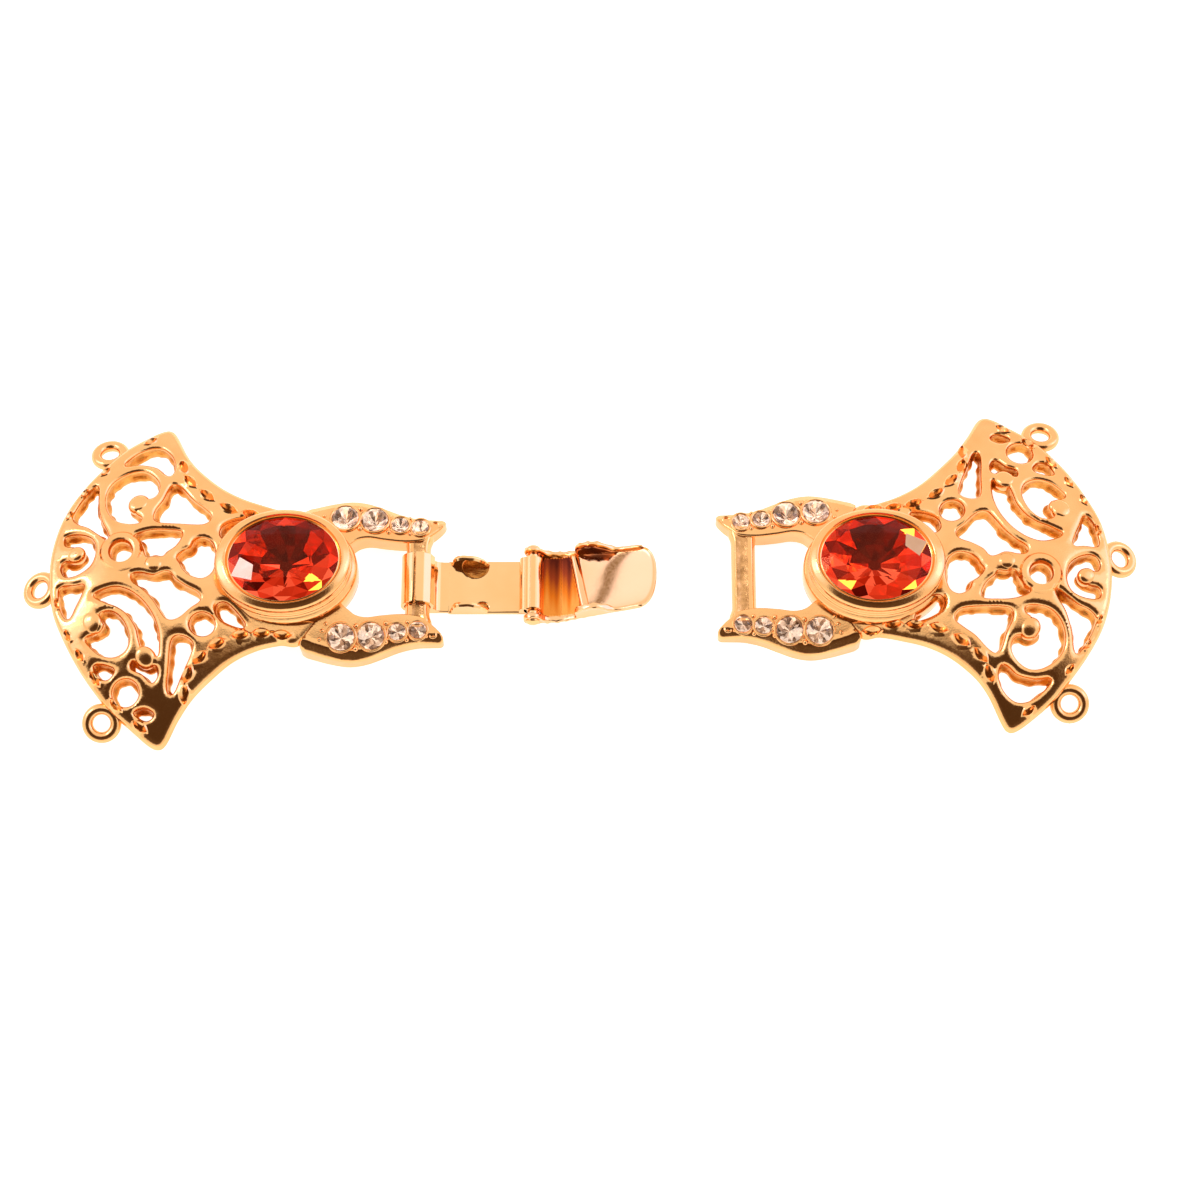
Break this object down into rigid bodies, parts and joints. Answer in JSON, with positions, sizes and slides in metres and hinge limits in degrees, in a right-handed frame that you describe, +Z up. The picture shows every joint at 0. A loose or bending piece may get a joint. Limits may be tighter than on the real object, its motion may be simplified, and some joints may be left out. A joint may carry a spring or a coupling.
{
  "type": "multi-strand fold-over clasp",
  "caption": "Opened fold-over clasp for a multi-strand necklace: pierced domed plates with oval and round stones, strand loops, crossbars and a hinged latch.",
  "frame": {"origin": "on the table, at the middle of the whole clasp's length and width", "axes": "+X from the half that carries the latch to the half with the bare crossbar, +Z up from the table, through the stones"},
  "size_m": [0.0998, 0.032, 0.0071],
  "materials": {
    "gold_casting": "polished rose-gold plating over a cast base, a little soft at the edges",
    "latch_gold": "polished rose-gold plating on bent sheet",
    "red_glass": "faceted foil-backed red glass",
    "clear_glass": "faceted foil-backed clear glass"
  },
  "bodies": {
    "halves": {"hook_plate": "gold_casting", "catch_plate": "gold_casting", "hook_oval_stone": "red_glass", "catch_oval_stone": "red_glass", "hook_round_stone_1": "clear_glass", "hook_round_stone_2": "clear_glass", "hook_round_stone_3": "clear_glass", "hook_round_stone_4": "clear_glass", "hook_round_stone_5": "clear_glass", "hook_round_stone_6": "clear_glass", "hook_round_stone_7": "clear_glass", "hook_round_stone_8": "clear_glass", "catch_round_stone_1": "clear_glass", "catch_round_stone_2": "clear_glass", "catch_round_stone_3": "clear_glass", "catch_round_stone_4": "clear_glass", "catch_round_stone_5": "clear_glass", "catch_round_stone_6": "clear_glass", "catch_round_stone_7": "clear_glass", "catch_round_stone_8": "clear_glass"},
    "leaf": {"base_leaf": "latch_gold"},
    "cover": {"cover_leaf": "latch_gold", "hinge_pin": "latch_gold"}
  },
  "joints": [
    {"name": "leaf_hinge", "type": "hinge", "parent": "halves", "child": "leaf", "pos_m": [-0.01463, -0.0004, 0.00153], "axis": [0, -1, 0], "range_deg": [0, 75]},
    {"name": "cover_hinge", "type": "hinge", "parent": "leaf", "child": "cover", "pos_m": [-0.00433, -0.0004, 0.00088], "axis": [0, -1, 0], "range_deg": [0, 155]}
  ]
}
